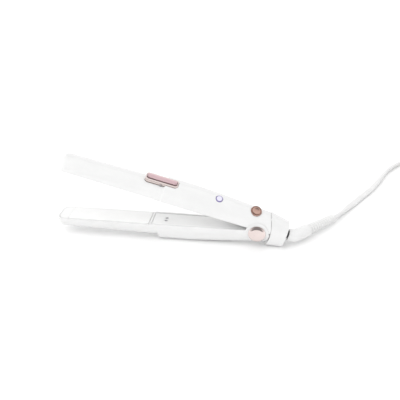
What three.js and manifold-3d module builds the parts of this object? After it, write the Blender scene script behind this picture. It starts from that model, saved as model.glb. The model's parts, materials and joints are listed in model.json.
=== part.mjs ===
// Hair straightener, open and lying on its lower arm. Millimetres, +Z up, +X towards the hinge end.
// The origin is on the surface it lies on, under the middle of the iron (the cord is not counted).
import * as THREE from 'three';
import { mergeVertices } from 'three/addons/utils/BufferGeometryUtils.js';
import Module from 'manifold-3d';

const wasm = await Module();
wasm.setup();

// ---------------------------------------------------------------- driving dimensions
// Each arm is drawn in arm space: X along it with the pivot at x = 0, the plane where the two heater
// plates meet at z = 0, and the outside of the arm towards +Z.
const OPEN = THREE.MathUtils.degToRad(15); // angle between the arms at rest
const PLANE = 3.8; // the plates meet this far above the pivot
const PIVOT = new THREE.Vector3(95.22, 0, 18.6); // hinge axis at rest

const TIP = -225.5;
const STEP = -111; // the barrel ends and the thicker handle starts
const REAR = 16; // rough length of the shells past the pivot, before the round cut
const WALL = 1.6;
const TIP_ROUND = 8; // of the tip's corners, seen from above
const TIP_FILLET = 3.6; // of the tip's edge, seen from the side
const STEP_LENGTH = 2;

const BARREL_HALF_WIDTH = 14.6;
const BARREL_HEIGHT = [14.5, 17.5]; // at the tip, at the step
const HANDLE_HALF_WIDTH = [14.9, 13.4]; // at the step, at the pivot
const HANDLE_HEIGHT = [22.4, 16.8]; // at the step, at the rear
const LEVEL_END = -80; // the underside is level from the step to here, and the iron rests on it
const TAPER_POWER = 1.3;
const ROUNDNESS = 2.3; // exponent of the arm's half section
const CROWN = 0.978; // the section is cut flat at this part of its height

const BARREL_RIM = 1.0; // how far the shell's rim stands back from the plane where the plates meet
const HANDLE_RIM = 0.3;
const GAP = 0.3; // between neighbouring pieces

const PLATE = { front: -212.4, rear: -119.6, half: 12.7, face: 0.15, back: 3.2, edge: 0.8 };
const HEATER = { front: -196, rear: -136, half: 6, back: 5.9 };
const CARRIER = { rear: -116.9, face: 0.9, floor: 7.2, back: 8.6 };
const COVER = { front: -116.4, rear: { upper: -28, lower: -9.5 }, face: 1.0, back: 3.0 };
const SCREW = { x: -101.8, y: 2.7, head: 1.7, shank: 0.8, length: 7 };

const TILT = THREE.MathUtils.degToRad(30); // the controls face this far round to the thumb's side
const TILT_CENTRE = 10.3; // the controls turn about this line in the upper arm
const ROCKER = { front: -131, rear: -98, half: 4.6, bottom: 8.6, top: 13.0, pin: 9.9, pinRadius: 0.9 };
const BEZEL = { wall: 1.3, bottom: 3.4, top: 12.0, end: 0.5 };
const BUTTON = { x: -8, radius: 4.9, bottom: 6.4, top: 10.4, ring: 0.75 };
const LENS = { x: -50, radius: 3.9, bottom: 9.4, top: 11.75 };
const BOARD = { front: -127, rear: 0, half: 7.5, bottom: 9.4, top: 10.6 };

const PIN_RADIUS = 2.5;
const BOSS = { radius: 12.8, seat: 9.8, inner: 11.2, outer: 13.2, clearance: 13.2 };
const LUG = { radius: 6.5, inner: 6.8, outer: 9.0, front: -26, top: 7.5 };
const BUSH = { radius: 5.0, inner: 9.3, outer: 10.9 };
const CAP_DISC = { radius: 9.4, inner: 13.65, outer: 14.5 };

const SEAM = { x: -42, z: -2, radius: 56.1, gap: 0.3 }; // round cut between the shells and the rear cap
const REAR_CAP = { rear: 31.5, wall: 1.8, middle: 2.9, front: [13.3, 17.3], back: [12.7, 13.8], fillet: 2 };
const SWIVEL = { z: 3.2, neck: 4.6, bore: 2.2, flange: 7, inside: 25, outside: 34.2 };
const ELBOW = { start: 34.5, bend: 41.2, arm: 23, radius: 7 };
const RELIEF_END = new THREE.Vector3(182.4, 54, 6.6); // where the cord leaves the strain relief
const RELIEF = { ribs: 12, radius: [6.3, 4.9], groove: 0.7 };

const CORD_RADIUS = 3.1;
const COIL = { x: 387, y: 262, inner: 30.5, outer: 53.5, height: 9.2 };
const PLUG = { body: 36, half: [13, 9], blade: 16, spacing: 12.7 };

// ---------------------------------------------------------------- materials
const finish = (color, roughness, metalness = 0) =>
  new THREE.MeshStandardMaterial({ color, roughness, metalness });
const MATERIAL = {
  shell: () => finish(0xf6f5f4, 0.22),
  inner: () => finish(0xefeeed, 0.4),
  plate: () => finish(0xf0eeea, 0.25, 0.1),
  rose: () => finish(0xd9a095, 0.25, 0.9),
  copper: () => finish(0xa9604a, 0.25, 0.9),
  steel: () => finish(0xb4b4b8, 0.35, 0.9),
  dark: () => finish(0x3a3a3d, 0.6),
  board: () => finish(0x1f6b45, 0.6),
  ceramic: () => finish(0xe6ddcf, 0.7),
  lens: () => finish(0xb9b4f0, 0.3),
  rubber: () => finish(0xf1f0ef, 0.5),
  brass: () => finish(0xc9a45a, 0.3, 0.9),
};

// ---------------------------------------------------------------- solids
function toSolid(geometry) {
  const bare = geometry.index ? geometry.toNonIndexed() : geometry.clone();
  bare.deleteAttribute('normal');
  bare.deleteAttribute('uv');
  const merged = mergeVertices(bare, 1e-4);
  const mesh = new wasm.Mesh({
    numProp: 3,
    vertProperties: new Float32Array(merged.attributes.position.array),
    triVerts: new Uint32Array(merged.index.array),
  });
  return new wasm.Manifold(mesh);
}

function toGeometry(solid) {
  const mesh = solid.getMesh();
  const geometry = new THREE.BufferGeometry();
  geometry.setAttribute('position', new THREE.BufferAttribute(new Float32Array(mesh.vertProperties), 3));
  geometry.setIndex(new THREE.BufferAttribute(new Uint32Array(mesh.triVerts), 1));
  return geometry;
}

function cut(body, ...tools) {
  return toGeometry(tools.reduce((rest, tool) => rest.subtract(toSolid(tool)), toSolid(body)));
}

function join(...parts) {
  return toGeometry(parts.slice(1).reduce((all, part) => all.add(toSolid(part)), toSolid(parts[0])));
}

function common(...parts) {
  return toGeometry(parts.slice(1).reduce((all, part) => all.intersect(toSolid(part)), toSolid(parts[0])));
}

function block(x, y, z) {
  const box = new THREE.BoxGeometry(x[1] - x[0], y[1] - y[0], z[1] - z[0]);
  return box.translate((x[0] + x[1]) / 2, (y[0] + y[1]) / 2, (z[0] + z[1]) / 2);
}

// A round bar along Y from y0 to y1, centred on (x, z).
function barY(radius, y0, y1, x = 0, z = 0, sides = 24) {
  const bar = new THREE.CylinderGeometry(radius, radius, y1 - y0, sides);
  return bar.translate(x, (y0 + y1) / 2, z);
}

// A round bar along Z from z0 to z1, centred on (x, y).
function barZ(radius, z0, z1, x = 0, y = 0, sides = 20) {
  const bar = new THREE.CylinderGeometry(radius, radius, z1 - z0, sides);
  return bar.rotateX(Math.PI / 2).translate(x, y, (z0 + z1) / 2);
}

// A round bar along X.
function barX(radius, x0, x1, y = 0, z = 0, sides = 12) {
  const bar = new THREE.CylinderGeometry(radius, radius, x1 - x0, sides);
  return bar.rotateZ(Math.PI / 2).translate((x0 + x1) / 2, y, z);
}

// A turned piece: profile is a list of [radius, height] along Z.
function turned(profile, sides = 24) {
  const points = profile.map(([radius, height]) => new THREE.Vector2(radius, height));
  return new THREE.LatheGeometry(points, sides).rotateX(Math.PI / 2);
}

// A rectangle in XY with round corners and bevelled faces, from z0 to z1.
function softSlab(x, y, z, corner, bevel) {
  const shape = new THREE.Shape();
  const [x0, x1, y0, y1] = [x[0] + bevel, x[1] - bevel, y[0] + bevel, y[1] - bevel];
  const r = Math.max(corner - bevel, 0.2);
  shape.moveTo(x0 + r, y0);
  shape.lineTo(x1 - r, y0);
  shape.absarc(x1 - r, y0 + r, r, -Math.PI / 2, 0);
  shape.absarc(x1 - r, y1 - r, r, 0, Math.PI / 2);
  shape.absarc(x0 + r, y1 - r, r, Math.PI / 2, Math.PI);
  shape.absarc(x0 + r, y0 + r, r, Math.PI, Math.PI * 1.5);
  const depth = z[1] - z[0] - 2 * bevel;
  const options = { depth, bevelThickness: bevel, bevelSize: bevel, bevelSegments: 1, curveSegments: 3 };
  return new THREE.ExtrudeGeometry(shape, options).translate(0, 0, z[0] + bevel);
}

// A section carried through stations of { x, a, b, z }: half width a, height b above z.
function loft(shape, stations) {
  const steps = stations.length - 1;
  const geometry = new THREE.ExtrudeGeometry(shape, { depth: steps, steps, bevelEnabled: false });
  const position = geometry.attributes.position;
  for (let i = 0; i < position.count; i += 1) {
    const { x, a, b, z = 0 } = stations[Math.round(position.getZ(i))];
    position.setXYZ(i, x, position.getX(i) * a, z + position.getY(i) * b);
  }
  return geometry;
}

const roundPower = (value, power) => Math.sign(value) * Math.abs(value) ** (2 / power);

// Half section of an arm: width -1 to 1, height 0 to 1 with a flat crown, on a skirt below the plane.
function halfSection(skirt, sides = 16) {
  const points = [];
  for (let i = 0; i <= sides; i += 1) {
    const angle = (Math.PI * i) / sides;
    const height = Math.min(Math.abs(roundPower(Math.sin(angle), ROUNDNESS)), CROWN) / CROWN;
    points.push(new THREE.Vector2(roundPower(Math.cos(angle), ROUNDNESS), height));
  }
  if (skirt > 0) {
    points.push(new THREE.Vector2(-1, -skirt), new THREE.Vector2(1, -skirt));
  }
  return new THREE.Shape(points);
}

// Full section of the rear cap, -1 to 1 both ways.
function fullSection(sides = 32, power = 2.6) {
  const points = [];
  for (let i = 0; i < sides; i += 1) {
    const angle = (2 * Math.PI * (i + 0.5)) / sides;
    points.push(new THREE.Vector2(roundPower(Math.cos(angle), power), roundPower(Math.sin(angle), power)));
  }
  return new THREE.Shape(points);
}

// A bar of round section along a path.
function sweep(path, radius, sides, steps) {
  const shape = new THREE.Shape();
  shape.absarc(0, 0, radius, 0, 2 * Math.PI);
  return new THREE.ExtrudeGeometry(shape, { extrudePath: path, steps, curveSegments: sides / 2 });
}

// ---------------------------------------------------------------- size of an arm at a place along it
function handleWidth(x) {
  return THREE.MathUtils.mapLinear(Math.min(x, REAR), STEP, 0, HANDLE_HALF_WIDTH[0], HANDLE_HALF_WIDTH[1]);
}

function handleHeight(x) {
  const along = Math.max(0, (x - LEVEL_END) / (REAR - 2 - LEVEL_END));
  return HANDLE_HEIGHT[0] - (HANDLE_HEIGHT[0] - HANDLE_HEIGHT[1]) * along ** TAPER_POWER;
}

function armSize(x) {
  const barrel = THREE.MathUtils.mapLinear(x, TIP, STEP, BARREL_HEIGHT[0], BARREL_HEIGHT[1]);
  const step = THREE.MathUtils.smoothstep(x, STEP, STEP + STEP_LENGTH);
  return {
    a: THREE.MathUtils.lerp(BARREL_HALF_WIDTH, handleWidth(x), step),
    b: THREE.MathUtils.lerp(barrel, handleHeight(x), step),
  };
}

// How far a quarter round of the given radius stands back at a distance along it.
function roundOff(radius, along) {
  const left = THREE.MathUtils.clamp(radius - along, 0, radius);
  return radius - Math.sqrt(radius ** 2 - left ** 2);
}

// Stations of an arm shrunk by inset, from its tip to x = rear.
function armStations(inset, rear) {
  const round = TIP_ROUND - inset;
  const fillet = Math.max(TIP_FILLET - inset, 1);
  const along = [0, 1, 2, 3, 4, 5].map((i) => round * (1 - Math.cos((Math.PI / 2) * (i / 5))));
  const straight = [-190, -150, STEP, STEP + 1, STEP + STEP_LENGTH, LEVEL_END, -60, -40, -20, 0, REAR];
  const tip = along.map((distance) => TIP + inset + distance);
  return tip.concat(straight.filter((x) => x < rear), rear).map((x) => {
    const { a, b } = armSize(x);
    const distance = x - TIP - inset;
    return { x, a: a - inset - roundOff(round, distance), b: b - inset - roundOff(fillet, distance) };
  });
}

// ---------------------------------------------------------------- arms
// Round cutters of the rear seam in pivot space; angle turns the upper arm's cut about the pivot.
function seamBar(radius, angle) {
  const x = SEAM.x * Math.cos(angle) + SEAM.z * Math.sin(angle);
  const z = -SEAM.x * Math.sin(angle) + SEAM.z * Math.cos(angle);
  return barY(radius, -20, 20, x, z, 72);
}

// Cross rib that takes the cover's screws.
function screwRib() {
  const rib = block([SCREW.x - 3, SCREW.x + 3], [-13, 13], [COVER.back + GAP, BOARD.bottom - 0.5]);
  const holes = [-1, 1].map((side) => barZ(1.1, 0, 20, SCREW.x, side * SCREW.y, 10));
  return cut(rib, ...holes);
}

// A hollow arm, open towards the plates.
function armShell() {
  const outer = loft(halfSection(0), armStations(0, REAR));
  const inner = loft(halfSection(0.1), armStations(WALL, REAR + 2));
  const barrelRim = block([TIP - 1, CARRIER.rear], [-20, 20], [-1, BARREL_RIM]);
  const handleRim = block([TIP - 1, REAR + 2], [-20, 20], [-1, HANDLE_RIM]);
  return join(cut(outer, inner, barrelRim, handleRim), screwRib());
}

const tilted = (geometry) => geometry.rotateX(TILT).translate(0, 0, TILT_CENTRE);

// Holes for the rocker's bezel, the light and the power button.
function controlCutters() {
  const side = ROCKER.half + GAP + BEZEL.wall + GAP;
  const reach = BEZEL.end + BEZEL.wall + GAP;
  const slot = block([ROCKER.front - reach, ROCKER.rear + reach], [-side, side], [3, 20]);
  const lens = barZ(LENS.radius + GAP, 5, 20, LENS.x, 0, 24);
  const button = barZ(BUTTON.radius + 2 * GAP + BUTTON.ring, 4, 20, BUTTON.x, 0, 24);
  return [slot, lens, button].map(tilted);
}

// Round bars along Y on both sides of the hinge, from y = inner to y = outer.
function hingeBars(radius, inner, outer, sides = 36) {
  return [barY(radius, inner, outer, 0, 0, sides), barY(radius, -outer, -inner, 0, 0, sides)];
}

function upperShell() {
  const shell = cut(armShell(), ...controlCutters()).translate(0, 0, PLANE);
  const behindSeam = cut(block([0, 40], [-30, 30], [-40, 60]), seamBar(SEAM.radius, 0));
  return cut(shell, behindSeam, ...hingeBars(BOSS.clearance, BOSS.inner - GAP, 20));
}

// Cheek of the lower arm round the hinge: flush with the arms' sides, with a seat for the pivot cap.
function hingeCheek(side) {
  const half = loft(halfSection(0.05), armStations(0, REAR)).translate(0, 0, PLANE);
  const turnedOver = half.clone().translate(0, 0, -PLANE).rotateX(Math.PI).translate(0, 0, PLANE);
  const index = side > 0 ? 0 : 1;
  const flush = common(hingeBars(BOSS.radius, BOSS.inner, 20)[index], join(half, turnedOver));
  const seat = hingeBars(BOSS.seat, BOSS.inner, BOSS.outer)[index];
  return cut(join(flush, seat), barY(PIN_RADIUS + GAP, -20, 20, 0, 0, 20));
}

function lowerShell() {
  const shell = armShell().rotateX(Math.PI).translate(0, 0, PLANE);
  const lugRoom = barY(LUG.radius + 1.2, -BOSS.inner, BOSS.inner, 0, 0, 24);
  const rimRoom = block([0, 40], [-30, 30], [-1, 20]);
  const ends = [0, 0.5, 1].map((part) => {
    const bar = seamBar(SEAM.radius - GAP, OPEN * part);
    return cut(block([0, 40], [-30, 30], [-50, 60]), bar);
  });
  const cheekRoom = hingeBars(BOSS.radius + 0.1, BOSS.inner - 0.1, 20);
  return cut(shell, lugRoom, rimRoom, ...ends, ...cheekRoom);
}

// Plate that closes the handle's inner side, as wide as the shell's inside, clear of the hinge cheeks.
function innerCover(rear) {
  const places = [COVER.front, STEP, STEP + STEP_LENGTH, LEVEL_END, rear];
  const half = places.map((x) => [x, armSize(x).a - WALL - GAP - 0.3]);
  const edge = half.map(([x, y]) => new THREE.Vector2(x, -y));
  const back = half.reverse().map(([x, y]) => new THREE.Vector2(x, y));
  const shape = new THREE.Shape(edge.concat(back));
  const plate = new THREE.ExtrudeGeometry(shape, { depth: COVER.back - COVER.face, bevelEnabled: false });
  const holes = [-1, 1].map((side) => barZ(SCREW.head + GAP, 0, 4, SCREW.x, side * SCREW.y, 16));
  const cheeks = hingeBars(BOSS.radius + GAP, BOSS.inner - GAP, 20).map((bar) => bar.translate(0, 0, PLANE));
  return cut(plate.translate(0, 0, COVER.face), ...holes, ...cheeks);
}

function coverScrew(side) {
  const profile = [[0, 0], [1.3, 0], [SCREW.head, 0.4], [SCREW.head, 1.2], [SCREW.shank, 1.6]];
  const shank = [[SCREW.shank, SCREW.length - 1], [0, SCREW.length]];
  const screw = turned(profile.concat(shank), 12).translate(0, 0, COVER.face + 0.2);
  return screw.translate(SCREW.x, side * SCREW.y, 0);
}

// Tray behind the plate: front and rear blocks joined by a floor.
function plateCarrier() {
  const body = loft(halfSection(0), armStations(WALL + GAP, CARRIER.rear));
  const slab = block([TIP, CARRIER.rear], [-20, 20], [CARRIER.face, CARRIER.back]);
  const pocket = block([PLATE.front - GAP, PLATE.rear + GAP], [-20, 20], [-1, CARRIER.floor]);
  return cut(common(body, slab), pocket);
}

function heaterPlate() {
  const y = [-PLATE.half, PLATE.half];
  return softSlab([PLATE.front, PLATE.rear], y, [PLATE.face, PLATE.back], PLATE.edge + 0.6, PLATE.edge);
}

function heater() {
  const y = [-HEATER.half, HEATER.half];
  return block([HEATER.front, HEATER.rear], y, [PLATE.back + GAP, HEATER.back]);
}

// Bowed leaf between the plate and the carrier's floor, centred on x.
function plateSpring(x) {
  const [low, high, leaf] = [CARRIER.floor - GAP, PLATE.back + GAP, 0.4];
  const shape = new THREE.Shape();
  shape.moveTo(-6, low);
  shape.quadraticCurveTo(0, 2 * high - low, 6, low);
  shape.lineTo(5, low);
  shape.quadraticCurveTo(0, 2 * (high + leaf) - low, -5, low);
  const options = { depth: 9, bevelEnabled: false, curveSegments: 8 };
  return new THREE.ExtrudeGeometry(shape, options).rotateX(Math.PI / 2).translate(x, 4.5, 0);
}

// Lead along the inside of an arm between two places.
function armLead(from, to, lift) {
  const path = new THREE.LineCurve3(new THREE.Vector3(from, 0, lift), new THREE.Vector3(to, 0, lift));
  return sweep(path, 1.2, 8, 6);
}

// ---------------------------------------------------------------- controls, drawn facing +Z
// Frame round the rocker, reaching down into the shell's wall and clear of the board.
function rockerBezel() {
  const side = ROCKER.half + GAP;
  const x = [ROCKER.front - BEZEL.end, ROCKER.rear + BEZEL.end];
  const outside = softSlab([x[0] - BEZEL.wall, x[1] + BEZEL.wall], [-side - BEZEL.wall, side + BEZEL.wall],
    [BEZEL.bottom, BEZEL.top], 3, 0.4);
  const window = softSlab(x, [-side, side], [0, 20], 2, 0.2);
  const middle = (ROCKER.front + ROCKER.rear) / 2;
  const pinHole = barY(ROCKER.pinRadius + 0.2, -20, 20, middle, ROCKER.pin, 12);
  const boardRoom = block([ROCKER.front - 5, ROCKER.rear + 5], [-12, 12], [0, BOARD.top + GAP]);
  boardRoom.translate(0, 0, -TILT_CENTRE).rotateX(-TILT);
  return cut(outside, window, pinHole, boardRoom);
}

function rocker() {
  const x = [ROCKER.front, ROCKER.rear];
  const body = softSlab(x, [-ROCKER.half, ROCKER.half], [ROCKER.bottom, ROCKER.top], 1.8, 0.6);
  const middle = (ROCKER.front + ROCKER.rear) / 2;
  return cut(body, barY(ROCKER.pinRadius + 0.2, -20, 20, middle, ROCKER.pin, 12));
}

function rockerPin() {
  const reach = ROCKER.half + GAP + BEZEL.wall - 0.2;
  return barY(ROCKER.pinRadius, -reach, reach, (ROCKER.front + ROCKER.rear) / 2, ROCKER.pin, 12);
}

function powerButton() {
  const { radius, bottom, top } = BUTTON;
  const dish = [[0, bottom], [2, bottom], [2, bottom + 1.4], [radius, bottom + 1.4]];
  const face = [[radius, top - 0.7], [radius - 0.7, top], [2.6, top - 0.3], [0, top - 0.4]];
  return turned(dish.concat(face)).translate(BUTTON.x, 0, 0);
}

function buttonRing() {
  const inner = BUTTON.radius + GAP;
  const outer = inner + BUTTON.ring;
  const low = BUTTON.bottom - 1.2;
  const high = BUTTON.top - 0.5;
  const profile = [[inner, low], [outer, low], [outer, high], [inner + 0.3, high + 0.2], [inner, high], [inner, low]];
  return turned(profile).translate(BUTTON.x, 0, 0);
}

function lens() {
  const { radius, bottom, top } = LENS;
  return turned([[0, bottom], [radius, bottom], [radius, top - 0.3], [radius - 0.4, top], [0, top]])
    .translate(LENS.x, 0, 0);
}

// Small push switch on the board, under x.
function pushSwitch(x, y) {
  const base = block([x - 3, x + 3], [y - 3, y + 3], [BOARD.top + GAP, BOARD.top + 2.6]);
  return join(base, barZ(1.5, BOARD.top + 2.4, BOARD.top + 3.1, x, y, 12));
}

function board() {
  return block([BOARD.front, BOARD.rear], [-BOARD.half, BOARD.half], [BOARD.bottom, BOARD.top]);
}

// ---------------------------------------------------------------- hinge, in pivot space
function hingeBracket() {
  const lugs = [-1, 1].map((side) => {
    const [y0, y1] = [side * LUG.inner, side * LUG.outer].sort((p, q) => p - q);
    const arm = block([LUG.front, 0], [y0, y1], [PLANE + 0.6, LUG.top]);
    return join(barY(LUG.radius, y0, y1, 0, 0, 24), arm, block([-6.4, 0], [y0, y1], [0, LUG.top]));
  });
  const web = block([LUG.front, LUG.front + 6], [-LUG.outer, LUG.outer], [PLANE + 0.6, LUG.top]);
  return cut(join(web, ...lugs), barY(PIN_RADIUS + 0.2, -20, 20, 0, 0, 20));
}

function bush(side) {
  const { radius, inner, outer } = BUSH;
  const hole = PIN_RADIUS + GAP;
  const ring = turned([[hole, inner], [radius, inner], [radius, outer], [hole, outer], [hole, inner]]);
  return ring.rotateX(side * Math.PI / 2);
}

function pivotDisc(side) {
  const { radius, inner, outer } = CAP_DISC;
  const face = [[radius, outer - 0.4], [radius - 0.5, outer], [radius - 2, outer - 0.15], [0, outer]];
  return turned([[0, inner], [radius, inner], ...face], 32).rotateX(side * Math.PI / 2);
}

// Torsion spring round the pin, with a leg into each arm.
class SpringLine extends THREE.Curve {
  constructor(radius, turns, half) {
    super();
    Object.assign(this, { radius, turns, half });
  }

  getPoint(t, target = new THREE.Vector3()) {
    const leg = 0.12;
    const wound = THREE.MathUtils.clamp((t - leg) / (1 - 2 * leg), 0, 1);
    const angle = 2 * Math.PI * this.turns * wound;
    const y = THREE.MathUtils.lerp(-this.half, this.half, wound);
    const out = Math.max(leg - t, t - 1 + leg, 0) / leg;
    const along = Math.sign(t - 0.5) * out * 11;
    const x = this.radius * Math.sin(angle) - along * Math.cos(angle) * Math.sign(t - 0.5);
    return target.set(x, y, this.radius * Math.cos(angle) + along * Math.sin(angle));
  }
}

function hingeSpring() {
  return sweep(new SpringLine(4.1, 4.5, 3.6), 0.55, 6, 46).rotateY(Math.PI);
}

// ---------------------------------------------------------------- rear cap and swivel, in pivot space
function rearCap() {
  const { rear, wall, middle, front, back, fillet } = REAR_CAP;
  const size = (x) => [0, 1].map((i) => THREE.MathUtils.mapLinear(x, REAR, rear, front[i], back[i]));
  const station = (x, inset, z = middle) => ({ x, a: size(x)[0] - inset, b: size(x)[1] - inset, z });
  const round = [0, 1, 2, 3].map((i) => {
    const angle = (Math.PI / 2) * (i / 3);
    return station(rear - fillet * (1 - Math.sin(angle)), fillet * (1 - Math.cos(angle)));
  });
  const outer = loft(fullSection(), [station(6, 0), station(REAR, 0), station(24, 0), ...round]);
  const inner = loft(fullSection(), [station(0, wall), station(REAR, wall), station(rear - wall, wall + 0.6)]);
  const stemHole = barX(SWIVEL.neck + GAP, 20, 40, 0, SWIVEL.z, 24);
  return cut(outer, inner, seamBar(SEAM.radius + SEAM.gap, 0), stemHole);
}

function swivelStem() {
  const { neck, bore, flange, inside, outside } = SWIVEL;
  const stop = REAR_CAP.rear - REAR_CAP.wall - 0.9;
  const profile = [[bore, inside], [neck, inside], [neck, stop - 1.4], [flange, stop - 1.4], [flange, stop]];
  const stem = turned(profile.concat([[neck, stop], [neck, outside], [bore, outside], [bore, inside]]), 20);
  return stem.rotateY(Math.PI / 2).translate(0, 0, SWIVEL.z);
}

function retainerRing() {
  const inner = SWIVEL.neck + GAP;
  const ring = turned([[inner, 25.6], [6.4, 25.6], [6.4, 26.6], [inner, 26.6], [inner, 25.6]], 20);
  return ring.rotateY(Math.PI / 2).translate(0, 0, SWIVEL.z);
}

function innerLead() {
  const points = [[24.6, 3.2], [19, 4.2], [14, 8.5], [8.5, 12.8], [BOARD.rear + GAP, 13.8]];
  const path = new THREE.CatmullRomCurve3(points.map(([x, z]) => new THREE.Vector3(x, 0, z)));
  return sweep(path, 2, 8, 12);
}

// ---------------------------------------------------------------- cord, in the row's frame
// A place on the swivel's axis at rest, distance x from the pivot along the upper arm.
function onSwivelAxis(x) {
  return new THREE.Vector3(x, 0, SWIVEL.z).applyAxisAngle(new THREE.Vector3(0, 1, 0), OPEN).add(PIVOT);
}

const bendPoint = onSwivelAxis(ELBOW.bend);
const reliefWay = RELIEF_END.clone().sub(bendPoint).normalize();
const reliefStart = bendPoint.clone().addScaledVector(reliefWay, ELBOW.arm);

function elbow() {
  const path = new THREE.CurvePath();
  const [start, end] = [onSwivelAxis(ELBOW.start), reliefStart];
  const soft = 4.5;
  const before = bendPoint.clone().addScaledVector(bendPoint.clone().sub(start).normalize(), -soft);
  const after = bendPoint.clone().addScaledVector(reliefWay, soft);
  path.add(new THREE.LineCurve3(start, before));
  path.add(new THREE.QuadraticBezierCurve3(before, bendPoint, after));
  path.add(new THREE.LineCurve3(after, end));
  return sweep(path, ELBOW.radius, 14, 10);
}

// Tapered sleeve with round ribs, on the line from the elbow to the cord's start.
function strainRelief() {
  const start = reliefStart.clone().addScaledVector(reliefWay, GAP);
  const length = RELIEF_END.distanceTo(start);
  const pitch = length / RELIEF.ribs;
  const radius = (z) => THREE.MathUtils.mapLinear(z, 0, length, RELIEF.radius[0], RELIEF.radius[1]);
  const profile = [[0, 0]];
  for (let rib = 0; rib < RELIEF.ribs; rib += 1) {
    const z = rib * pitch;
    profile.push([radius(z), z], [radius(z), z + 0.6 * pitch], [radius(z) - RELIEF.groove, z + 0.8 * pitch]);
  }
  profile.push([RELIEF.radius[1] - 0.6, length], [0, length]);
  const sleeve = turned(profile, 12);
  sleeve.applyQuaternion(new THREE.Quaternion().setFromUnitVectors(new THREE.Vector3(0, 0, 1), reliefWay));
  return sleeve.translate(start.x, start.y, start.z);
}

// Route of the cord over the surface, chosen by hand: from the strain relief to the coil.
const ROUTE = [
  [182.7, 54.4, 6.55], [188, 62, 5.4], [194, 73, 4.3], [202, 87, 3.5], [212, 103, 3.3], [225, 124, 3.3],
  [239, 147, 3.3], [252, 173, 3.3], [262.5, 196, 3.3], [273, 214, 3.3], [285, 229.5, 3.3],
  [301, 247.5, 3.3], [317, 266, 3.3], [332, 284.8, 3.3], [346.3, 302.8, 3.3],
];

// Last stretch, from the coil to the plug.
const TAIL = [[401.8, 206.8, 3.3], [389, 203.5, 3.3], [376, 200.2, 3.8], [363.5, 196.9, 5.5]];

function cordStretch(points, steps) {
  const path = new THREE.CatmullRomCurve3(points.map((point) => new THREE.Vector3(...point)));
  return sweep(path, CORD_RADIUS, 8, steps);
}

function coil() {
  const { inner, outer, height, x, y } = COIL;
  const edge = 2;
  const profile = [[inner + edge, 0], [outer - edge, 0], [outer, edge], [outer, height - edge]];
  const top = [[outer - edge, height], [inner + edge, height], [inner, height - edge], [inner, edge]];
  return turned([...profile, ...top, [inner + edge, 0]], 36).translate(x, y, 0);
}

// Band wrapped round the ring's section, on its -X side.
function cordTie() {
  const [low, high] = [COIL.inner - 0.7, COIL.outer + 0.3];
  const outside = block([-high - 1.4, 1.4 - low], [-4, 4], [0, COIL.height + 1.7]);
  const inside = block([-high, -low], [-5, 5], [-5, COIL.height + 0.3]);
  return cut(outside, inside).translate(COIL.x, COIL.y, 0);
}

// The plug is drawn along +X, with the cord's end at its origin.
function plugBody() {
  const length = PLUG.body;
  const stations = [[0, 0.42], [2, 0.5], [9, 0.62], [14, 0.92], [18, 1], [length - 1.5, 1], [length, 0.9]];
  const sizes = stations.map(([x, k]) => ({ x: x + GAP, a: PLUG.half[0] * k, b: PLUG.half[1] * k }));
  return loft(fullSection(20, 3), sizes);
}

function plugBlade(side) {
  const x = PLUG.body + 2 * GAP;
  const y = side * PLUG.spacing / 2;
  return block([x, x + PLUG.blade], [y - 0.75, y + 0.75], [-3.1, 3.1]);
}

// ---------------------------------------------------------------- assembly
const iron = new THREE.Group();
const lowerPivot = new THREE.Group();
const upperPivot = new THREE.Group();
lowerPivot.position.copy(PIVOT);
upperPivot.position.copy(PIVOT);
upperPivot.rotation.y = OPEN;
iron.add(lowerPivot, upperPivot);

// Arm space inside each pivot group; the lower arm is the same design turned over.
const upperArm = new THREE.Group();
upperArm.position.z = PLANE;
upperPivot.add(upperArm);
const lowerArm = new THREE.Group();
lowerArm.position.z = PLANE;
lowerArm.rotation.x = Math.PI;
lowerPivot.add(lowerArm);
const controls = new THREE.Group();
controls.position.z = TILT_CENTRE;
controls.rotation.x = TILT;
upperArm.add(controls);

function add(parent, name, geometry, material) {
  const mesh = new THREE.Mesh(geometry, material());
  mesh.name = name;
  parent.add(mesh);
}

function addArm(group, name) {
  add(group, `${name}_inner_cover`, innerCover(COVER.rear[name]), MATERIAL.inner);
  add(group, `${name}_plate_carrier`, plateCarrier(), MATERIAL.inner);
  add(group, `${name}_heater_plate`, heaterPlate(), MATERIAL.plate);
  add(group, `${name}_heater`, heater(), MATERIAL.ceramic);
  add(group, `${name}_front_plate_spring`, plateSpring(PLATE.front + 8.4), MATERIAL.steel);
  add(group, `${name}_rear_plate_spring`, plateSpring(PLATE.rear - 8.4), MATERIAL.steel);
  add(group, `${name}_left_cover_screw`, coverScrew(-1), MATERIAL.steel);
  add(group, `${name}_right_cover_screw`, coverScrew(1), MATERIAL.steel);
}

function addControls() {
  add(controls, 'rocker_bezel', rockerBezel(), MATERIAL.rose);
  add(controls, 'temperature_rocker', rocker(), MATERIAL.rose);
  add(controls, 'rocker_pin', rockerPin(), MATERIAL.steel);
  add(controls, 'power_button', powerButton(), MATERIAL.copper);
  add(controls, 'button_ring', buttonRing(), MATERIAL.rose);
  add(controls, 'indicator_lens', lens(), MATERIAL.lens);
  add(upperArm, 'control_board', board(), MATERIAL.board);
  add(upperArm, 'front_rocker_switch', pushSwitch(-123, -2), MATERIAL.dark);
  add(upperArm, 'rear_rocker_switch', pushSwitch(-104, -2), MATERIAL.dark);
  add(upperArm, 'power_switch', pushSwitch(BUTTON.x, -1), MATERIAL.dark);
}

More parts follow.
